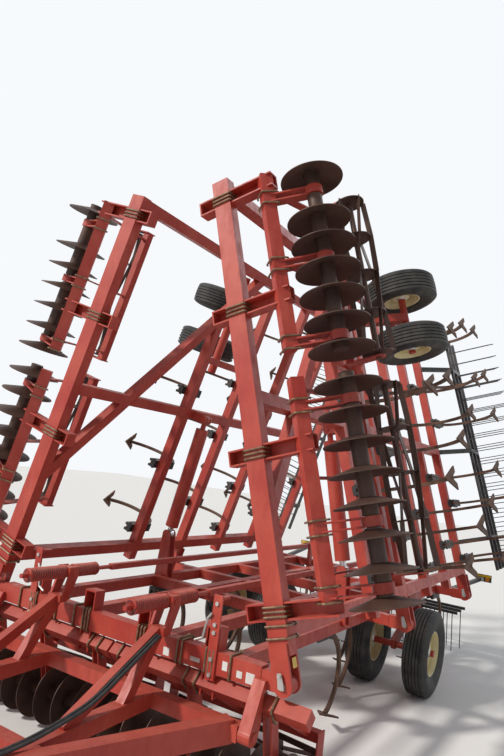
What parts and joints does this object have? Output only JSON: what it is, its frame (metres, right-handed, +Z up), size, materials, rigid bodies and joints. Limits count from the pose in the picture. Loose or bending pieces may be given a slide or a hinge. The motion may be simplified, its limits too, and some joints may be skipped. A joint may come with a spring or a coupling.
{
  "type": "folded disc mulch finisher",
  "caption": "Towed tillage implement with disc gangs, curved shanks with sweeps and a toothed harrow, its hinged wings folded upright over the wheeled centre frame.",
  "frame": {"origin": "on the ground, below the middle of the machine's length and width", "axes": "+Z up, -Y towards the hitch in the direction of travel, +X to the machine's left side"},
  "size_m": [4.8204, 9.5579, 4.9951],
  "materials": {
    "red_paint": "faded gloss with dust",
    "worn_steel": "worn and rusty",
    "disc_steel": "brown surface rust",
    "black_paint": "dull black",
    "tyre_rubber": "dusty",
    "rim_paint": "satin",
    "pin_steel": "satin",
    "rod_chrome": "polished",
    "hose_rubber": "dull",
    "amber_lens": "glossy lens"
  },
  "bodies": {
    "centre": {"centre_cross_tubes": "red_paint", "centre_rails": "red_paint", "centre_lugs": "red_paint", "centre_gang_carriers": "red_paint", "centre_shanks": "worn_steel", "centre_shank_mounts": "black_paint", "centre_harrow": "black_paint", "lamp_arms": "black_paint", "lamps": "amber_lens"},
    "lift_axle": {"lift_axle": "red_paint"},
    "tongue": {"tongue_frame": "red_paint", "hitch": "worn_steel", "jack_body": "red_paint", "tongue_hoses": "hose_rubber"},
    "jack_leg": {"jack_leg": "pin_steel"},
    "levelling_rods": {"levelling_rods": "red_paint"},
    "wheels_left": {"wheel_tyres_left": "tyre_rubber", "wheel_rims_left": "rim_paint"},
    "centre_gang_left": {"centre_gang_left": "disc_steel"},
    "centre_reel_left": {"centre_reel_left": "disc_steel"},
    "wing_left": {"wing_cross_tubes_left": "red_paint", "wing_rails_left": "red_paint", "wing_brace_left": "red_paint", "wing_hinge_plates_left": "red_paint", "wing_pins_left": "pin_steel", "wing_gang_carrier_left": "red_paint", "wing_shanks_left": "worn_steel", "wing_shank_mounts_left": "black_paint", "wing_harrow_left": "black_paint"},
    "wing_gang_inner_left": {"wing_gang_inner_left": "disc_steel"},
    "wing_gang_outer_left": {"wing_gang_outer_left": "disc_steel"},
    "wing_reel_inner_left": {"wing_reel_inner_left": "disc_steel"},
    "wing_reel_outer_left": {"wing_reel_outer_left": "disc_steel"},
    "wing_axle_left": {"wing_axle_left": "red_paint"},
    "wing_wheels_left": {"wing_tyres_left": "tyre_rubber", "wing_rims_left": "rim_paint"},
    "fold_barrel_left": {"fold_barrel_left": "red_paint"},
    "fold_rod_left": {"fold_rod_left": "rod_chrome"},
    "wheels_right": {"wheel_tyres_right": "tyre_rubber", "wheel_rims_right": "rim_paint"},
    "centre_gang_right": {"centre_gang_right": "disc_steel"},
    "centre_reel_right": {"centre_reel_right": "disc_steel"},
    "wing_right": {"wing_cross_tubes_right": "red_paint", "wing_rails_right": "red_paint", "wing_brace_right": "red_paint", "wing_hinge_plates_right": "red_paint", "wing_pins_right": "pin_steel", "wing_gang_carrier_right": "red_paint", "wing_shanks_right": "worn_steel", "wing_shank_mounts_right": "black_paint", "wing_harrow_right": "black_paint"},
    "wing_gang_inner_right": {"wing_gang_inner_right": "disc_steel"},
    "wing_gang_outer_right": {"wing_gang_outer_right": "disc_steel"},
    "wing_reel_inner_right": {"wing_reel_inner_right": "disc_steel"},
    "wing_reel_outer_right": {"wing_reel_outer_right": "disc_steel"},
    "wing_axle_right": {"wing_axle_right": "red_paint"},
    "wing_wheels_right": {"wing_tyres_right": "tyre_rubber", "wing_rims_right": "rim_paint"},
    "fold_barrel_right": {"fold_barrel_right": "red_paint"},
    "fold_rod_right": {"fold_rod_right": "rod_chrome"}
  },
  "joints": [
    {"name": "lift_axle_turn", "type": "hinge", "parent": "centre", "child": "lift_axle", "pos_m": [0, 2.811, 0.81], "axis": [1, 0, 0], "range_deg": [-11, 0]},
    {"name": "tongue_pitch", "type": "hinge", "parent": "centre", "child": "tongue", "pos_m": [0, -1.934, 0.71], "axis": [1, 0, 0], "range_deg": [-9.62, 0.2]},
    {"name": "levelling_rod_tilt", "type": "hinge", "parent": "tongue", "child": "levelling_rods", "pos_m": [0, -1.869, 1.38], "axis": [1, 0, 0], "range_deg": [-0.2, 9.73]},
    {"name": "jack_slide", "type": "slide", "parent": "tongue", "child": "jack_leg", "axis": [0, 0, 1], "range_m": [0, 0.3]},
    {"name": "wheels_left_roll", "type": "hinge", "parent": "lift_axle", "child": "wheels_left", "pos_m": [1.05, 2.142, 0.49], "axis": [1, 0, 0], "continuous": true},
    {"name": "centre_gang_left_roll", "type": "hinge", "parent": "centre", "child": "centre_gang_left", "pos_m": [0.962, -1.639, 0.305], "axis": [1, 0, 0], "continuous": true},
    {"name": "centre_reel_left_roll", "type": "hinge", "parent": "centre", "child": "centre_reel_left", "pos_m": [0.795, -1.009, 0.235], "axis": [1, 0, 0], "continuous": true},
    {"name": "wing_left_fold", "type": "hinge", "parent": "centre", "child": "wing_left", "pos_m": [1.555, 0.171, 1.04], "axis": [0, 1, 0], "range_deg": [0, 106.5]},
    {"name": "wing_gang_inner_left_roll", "type": "hinge", "parent": "wing_left", "child": "wing_gang_inner_left", "pos_m": [1.91153, -1.639, 2.42426], "axis": [-0.284, 0, 0.9588], "continuous": true},
    {"name": "wing_gang_outer_left_roll", "type": "hinge", "parent": "wing_left", "child": "wing_gang_outer_left", "pos_m": [1.41677, -1.639, 4.09453], "axis": [-0.284, 0, 0.9588], "continuous": true},
    {"name": "wing_reel_inner_left_roll", "type": "hinge", "parent": "wing_left", "child": "wing_reel_inner_left", "pos_m": [1.95479, -1.009, 2.52469], "axis": [-0.284, 0, 0.9588], "continuous": true},
    {"name": "wing_reel_outer_left_roll", "type": "hinge", "parent": "wing_left", "child": "wing_reel_outer_left", "pos_m": [1.47622, -1.009, 4.1403], "axis": [-0.284, 0, 0.9588], "continuous": true},
    {"name": "wing_axle_left_turn", "type": "hinge", "parent": "wing_left", "child": "wing_axle_left", "pos_m": [0.785, 0.331, 4.0972], "axis": [-0.284, 0, 0.9588], "range_deg": [0, 14]},
    {"name": "wing_wheels_left_roll", "type": "hinge", "parent": "wing_axle_left", "child": "wing_wheels_left", "pos_m": [1.28502, 0.731, 4.24532], "axis": [-0.284, 0, 0.9588], "continuous": true},
    {"name": "fold_barrel_left_swing", "type": "hinge", "parent": "wing_left", "child": "fold_barrel_left", "pos_m": [0.79521, 0.121, 2.90084], "axis": [0, 1, 0], "range_deg": [-0.05, 3.14]},
    {"name": "fold_rod_left_slide", "type": "slide", "parent": "fold_barrel_left", "child": "fold_rod_left", "axis": [0.2186, 0, -0.9758], "range_m": [-0.0005, 1.07921]},
    {"name": "wheels_right_roll", "type": "hinge", "parent": "lift_axle", "child": "wheels_right", "pos_m": [-1.05, 2.142, 0.49], "axis": [1, 0, 0], "continuous": true},
    {"name": "centre_gang_right_roll", "type": "hinge", "parent": "centre", "child": "centre_gang_right", "pos_m": [-0.962, -1.639, 0.305], "axis": [1, 0, 0], "continuous": true},
    {"name": "centre_reel_right_roll", "type": "hinge", "parent": "centre", "child": "centre_reel_right", "pos_m": [-0.795, -1.009, 0.235], "axis": [1, 0, 0], "continuous": true},
    {"name": "wing_right_fold", "type": "hinge", "parent": "centre", "child": "wing_right", "pos_m": [-1.555, 0.171, 1.04], "axis": [0, 1, 0], "range_deg": [-106.5, 0]},
    {"name": "wing_gang_inner_right_roll", "type": "hinge", "parent": "wing_right", "child": "wing_gang_inner_right", "pos_m": [-1.91153, -1.639, 2.42426], "axis": [0.284, 0, 0.9588], "continuous": true},
    {"name": "wing_gang_outer_right_roll", "type": "hinge", "parent": "wing_right", "child": "wing_gang_outer_right", "pos_m": [-1.41677, -1.639, 4.09453], "axis": [0.284, 0, 0.9588], "continuous": true},
    {"name": "wing_reel_inner_right_roll", "type": "hinge", "parent": "wing_right", "child": "wing_reel_inner_right", "pos_m": [-1.95479, -1.009, 2.52469], "axis": [0.284, 0, 0.9588], "continuous": true},
    {"name": "wing_reel_outer_right_roll", "type": "hinge", "parent": "wing_right", "child": "wing_reel_outer_right", "pos_m": [-1.47622, -1.009, 4.1403], "axis": [0.284, 0, 0.9588], "continuous": true},
    {"name": "wing_axle_right_turn", "type": "hinge", "parent": "wing_right", "child": "wing_axle_right", "pos_m": [-0.785, 0.331, 4.0972], "axis": [0.284, 0, 0.9588], "range_deg": [-14, 0]},
    {"name": "wing_wheels_right_roll", "type": "hinge", "parent": "wing_axle_right", "child": "wing_wheels_right", "pos_m": [-1.28502, 0.731, 4.24532], "axis": [0.284, 0, 0.9588], "continuous": true},
    {"name": "fold_barrel_right_swing", "type": "hinge", "parent": "wing_right", "child": "fold_barrel_right", "pos_m": [-0.79521, 0.121, 2.90084], "axis": [0, 1, 0], "range_deg": [-3.14, 0.05]},
    {"name": "fold_rod_right_slide", "type": "slide", "parent": "fold_barrel_right", "child": "fold_rod_right", "axis": [-0.2186, 0, -0.9758], "range_m": [-0.0005, 1.07921]}
  ],
  "couplings": [
    {"joint": "tongue_pitch", "follows": "lift_axle_turn", "ratio": 0.85626},
    {"joint": "levelling_rod_tilt", "follows": "lift_axle_turn", "ratio": -0.8665},
    {"joint": "fold_barrel_left_swing", "follows": "wing_left_fold", "ratio": 0.029028},
    {"joint": "fold_rod_left_slide", "follows": "wing_left_fold", "m_per_rad": 0.58033},
    {"joint": "fold_barrel_right_swing", "follows": "wing_right_fold", "ratio": 0.029028},
    {"joint": "fold_rod_right_slide", "follows": "wing_right_fold", "m_per_rad": -0.58033}
  ]
}
